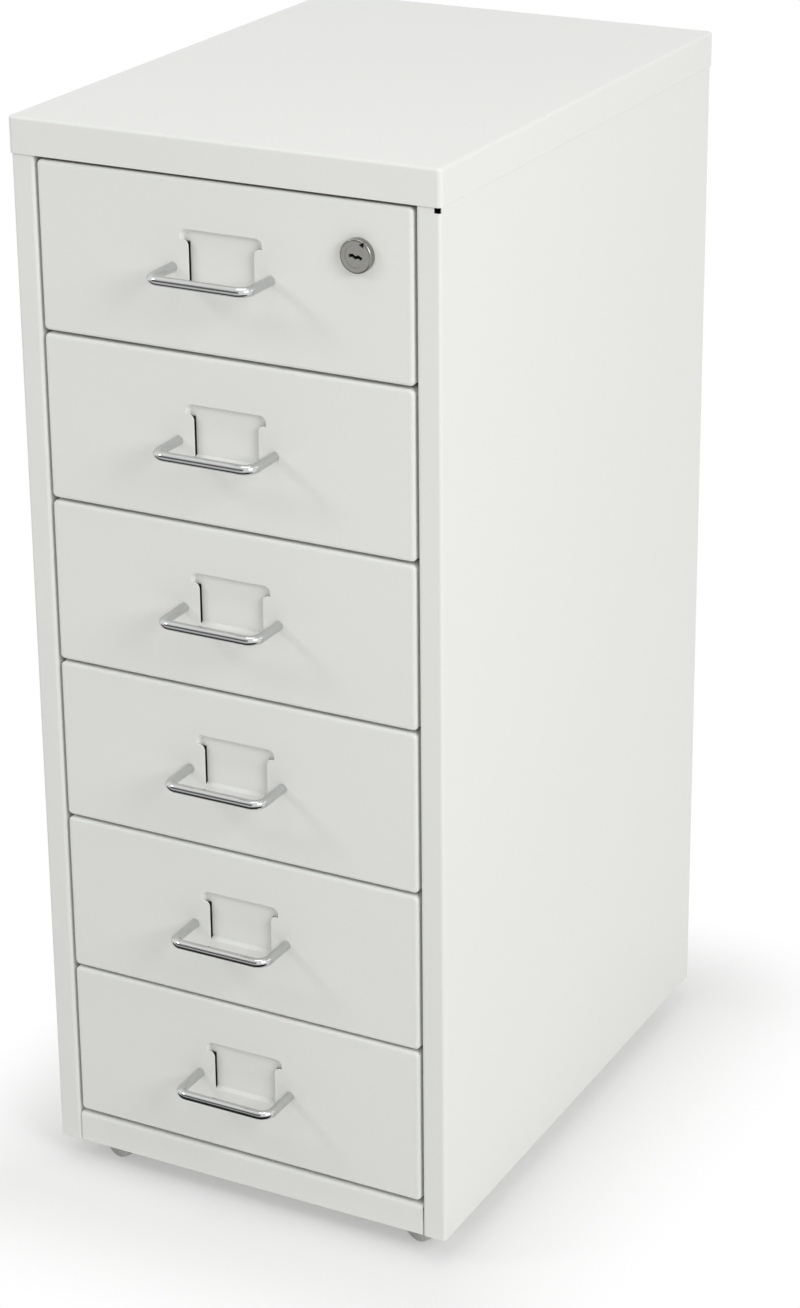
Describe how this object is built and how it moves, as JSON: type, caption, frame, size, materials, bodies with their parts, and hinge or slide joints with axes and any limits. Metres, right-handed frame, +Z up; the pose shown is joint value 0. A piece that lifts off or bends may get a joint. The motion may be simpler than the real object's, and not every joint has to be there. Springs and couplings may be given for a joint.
{
  "type": "drawer cabinet on casters",
  "caption": "Narrow white sheet-steel filing cabinet with a stack of shallow drawers, chrome wire handles, pressed label holders, a cam lock and low twin-wheel casters.",
  "frame": {"origin": "on the floor, at the middle of the footprint of the whole object, handles included", "axes": "+Z up, -Y out of the drawer fronts, +X to the right as seen from the front"},
  "size_m": [0.28, 0.41, 0.69],
  "materials": {
    "white_powder_coat": "fine satin powder coat",
    "chrome": "bright chrome plate",
    "lock_nickel": "satin nickel",
    "zinc_steel": "zinc plated",
    "white_plastic": "satin moulded",
    "grey_plastic": "satin moulded"
  },
  "bodies": {
    "cabinet": {"top_cover": "white_powder_coat", "left_side_panel": "white_powder_coat", "right_side_panel": "white_powder_coat", "back_panel": "white_powder_coat", "base_panel": "white_powder_coat", "drawer_1_runners": "white_powder_coat", "drawer_2_runners": "white_powder_coat", "drawer_3_runners": "white_powder_coat", "drawer_4_runners": "white_powder_coat", "drawer_5_runners": "white_powder_coat", "drawer_6_runners": "white_powder_coat", "caster_stems": "zinc_steel", "caster_nuts": "zinc_steel"},
    "drawer_1": {"drawer_1_front": "white_powder_coat", "drawer_1_box": "white_powder_coat", "drawer_1_handle": "chrome", "drawer_1_handle_screws": "zinc_steel", "lock_barrel": "lock_nickel", "lock_nut": "zinc_steel"},
    "drawer_2": {"drawer_2_front": "white_powder_coat", "drawer_2_box": "white_powder_coat", "drawer_2_handle": "chrome", "drawer_2_handle_screws": "zinc_steel"},
    "drawer_3": {"drawer_3_front": "white_powder_coat", "drawer_3_box": "white_powder_coat", "drawer_3_handle": "chrome", "drawer_3_handle_screws": "zinc_steel"},
    "drawer_4": {"drawer_4_front": "white_powder_coat", "drawer_4_box": "white_powder_coat", "drawer_4_handle": "chrome", "drawer_4_handle_screws": "zinc_steel"},
    "drawer_5": {"drawer_5_front": "white_powder_coat", "drawer_5_box": "white_powder_coat", "drawer_5_handle": "chrome", "drawer_5_handle_screws": "zinc_steel"},
    "drawer_6": {"drawer_6_front": "white_powder_coat", "drawer_6_box": "white_powder_coat", "drawer_6_handle": "chrome", "drawer_6_handle_screws": "zinc_steel"},
    "lock": {"lock_plug": "lock_nickel", "lock_cam": "zinc_steel", "cam_screw": "zinc_steel"},
    "caster_front_left": {"caster_front_left_hood": "white_plastic", "caster_front_left_axle": "zinc_steel"},
    "caster_front_left_front_wheel": {"caster_front_left_front_wheel": "grey_plastic"},
    "caster_front_left_rear_wheel": {"caster_front_left_rear_wheel": "grey_plastic"},
    "caster_front_right": {"caster_front_right_hood": "white_plastic", "caster_front_right_axle": "zinc_steel"},
    "caster_front_right_front_wheel": {"caster_front_right_front_wheel": "grey_plastic"},
    "caster_front_right_rear_wheel": {"caster_front_right_rear_wheel": "grey_plastic"},
    "caster_rear_left": {"caster_rear_left_hood": "white_plastic", "caster_rear_left_axle": "zinc_steel"},
    "caster_rear_left_front_wheel": {"caster_rear_left_front_wheel": "grey_plastic"},
    "caster_rear_left_rear_wheel": {"caster_rear_left_rear_wheel": "grey_plastic"},
    "caster_rear_right": {"caster_rear_right_hood": "white_plastic", "caster_rear_right_axle": "zinc_steel"},
    "caster_rear_right_front_wheel": {"caster_rear_right_front_wheel": "grey_plastic"},
    "caster_rear_right_rear_wheel": {"caster_rear_right_rear_wheel": "grey_plastic"}
  },
  "joints": [
    {"name": "drawer_1_slide", "type": "slide", "parent": "cabinet", "child": "drawer_1", "axis": [0, -1, 0], "range_m": [0, 0.28]},
    {"name": "drawer_2_slide", "type": "slide", "parent": "cabinet", "child": "drawer_2", "axis": [0, -1, 0], "range_m": [0, 0.28]},
    {"name": "drawer_3_slide", "type": "slide", "parent": "cabinet", "child": "drawer_3", "axis": [0, -1, 0], "range_m": [0, 0.28]},
    {"name": "drawer_4_slide", "type": "slide", "parent": "cabinet", "child": "drawer_4", "axis": [0, -1, 0], "range_m": [0, 0.28]},
    {"name": "drawer_5_slide", "type": "slide", "parent": "cabinet", "child": "drawer_5", "axis": [0, -1, 0], "range_m": [0, 0.28]},
    {"name": "drawer_6_slide", "type": "slide", "parent": "cabinet", "child": "drawer_6", "axis": [0, -1, 0], "range_m": [0, 0.28]},
    {"name": "lock_turn", "type": "hinge", "parent": "drawer_1", "child": "lock", "pos_m": [0.0885, -0.174, 0.6355], "axis": [0, 1, 0], "range_deg": [0, 90]},
    {"name": "caster_front_left_swivel", "type": "hinge", "parent": "cabinet", "child": "caster_front_left", "pos_m": [-0.109, -0.144, 0.02], "axis": [0, 0, 1], "continuous": true},
    {"name": "caster_front_left_front_wheel_spin", "type": "hinge", "parent": "caster_front_left", "child": "caster_front_left_front_wheel", "pos_m": [-0.10397, -0.14624, 0.015], "axis": [0.4067, 0.9135, 0], "continuous": true},
    {"name": "caster_front_left_rear_wheel_spin", "type": "hinge", "parent": "caster_front_left", "child": "caster_front_left_rear_wheel", "pos_m": [-0.10397, -0.14624, 0.015], "axis": [0.4067, 0.9135, 0], "continuous": true},
    {"name": "caster_front_right_swivel", "type": "hinge", "parent": "cabinet", "child": "caster_front_right", "pos_m": [0.109, -0.144, 0.02], "axis": [0, 0, 1], "continuous": true},
    {"name": "caster_front_right_front_wheel_spin", "type": "hinge", "parent": "caster_front_right", "child": "caster_front_right_front_wheel", "pos_m": [0.11403, -0.14624, 0.015], "axis": [0.4067, 0.9135, 0], "continuous": true},
    {"name": "caster_front_right_rear_wheel_spin", "type": "hinge", "parent": "caster_front_right", "child": "caster_front_right_rear_wheel", "pos_m": [0.11403, -0.14624, 0.015], "axis": [0.4067, 0.9135, 0], "continuous": true},
    {"name": "caster_rear_left_swivel", "type": "hinge", "parent": "cabinet", "child": "caster_rear_left", "pos_m": [-0.109, 0.174, 0.02], "axis": [0, 0, 1], "continuous": true},
    {"name": "caster_rear_left_front_wheel_spin", "type": "hinge", "parent": "caster_rear_left", "child": "caster_rear_left_front_wheel", "pos_m": [-0.10397, 0.17176, 0.015], "axis": [0.4067, 0.9135, 0], "continuous": true},
    {"name": "caster_rear_left_rear_wheel_spin", "type": "hinge", "parent": "caster_rear_left", "child": "caster_rear_left_rear_wheel", "pos_m": [-0.10397, 0.17176, 0.015], "axis": [0.4067, 0.9135, 0], "continuous": true},
    {"name": "caster_rear_right_swivel", "type": "hinge", "parent": "cabinet", "child": "caster_rear_right", "pos_m": [0.109, 0.174, 0.02], "axis": [0, 0, 1], "continuous": true},
    {"name": "caster_rear_right_front_wheel_spin", "type": "hinge", "parent": "caster_rear_right", "child": "caster_rear_right_front_wheel", "pos_m": [0.11403, 0.17176, 0.015], "axis": [0.4067, 0.9135, 0], "continuous": true},
    {"name": "caster_rear_right_rear_wheel_spin", "type": "hinge", "parent": "caster_rear_right", "child": "caster_rear_right_rear_wheel", "pos_m": [0.11403, 0.17176, 0.015], "axis": [0.4067, 0.9135, 0], "continuous": true}
  ]
}
